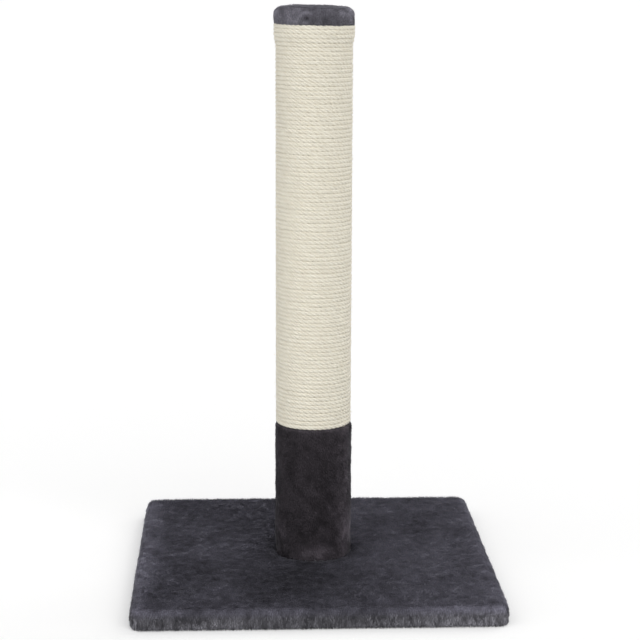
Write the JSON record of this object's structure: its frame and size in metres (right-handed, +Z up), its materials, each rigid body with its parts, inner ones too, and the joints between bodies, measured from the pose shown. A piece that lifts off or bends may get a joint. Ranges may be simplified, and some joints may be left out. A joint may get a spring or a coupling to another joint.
{
  "type": "cat scratching post",
  "caption": "Upright cat scratching post: a cardboard tube wound with sisal rope, with a plush sleeve and cap, bolted to a square plush-covered board.",
  "frame": {"origin": "on the floor, under the middle of the square base and on the post's axis", "axes": "+Z up along the post; the front is -Y, and the sides of the base lie along X and Y"},
  "size_m": [0.4004, 0.4004, 0.641],
  "materials": {
    "plush": "charcoal short-pile plush on a knitted backing",
    "sisal": "pale twisted sisal rope, dry and fibrous",
    "board": "raw chipboard",
    "cardboard": "spiral-wound grey-brown cardboard",
    "zinc_steel": "bright zinc plate",
    "staple_wire": "galvanised wire",
    "wadding": "white polyester wadding"
  },
  "bodies": {
    "root": {"base_board": "board", "base_cover": "plush", "hem_staples": "staple_wire", "fixing_bolt": "zinc_steel", "bolt_washer": "zinc_steel", "tee_nut": "zinc_steel", "post_tube": "cardboard", "lower_plug": "board", "upper_plug": "board", "lower_plug_staples": "staple_wire", "upper_plug_staples": "staple_wire", "plush_sleeve": "plush", "sisal_winding": "sisal", "rope_staples": "staple_wire", "cap_pad": "wadding", "cap_cover": "plush", "cap_staples": "staple_wire"}
  },
  "joints": []
}
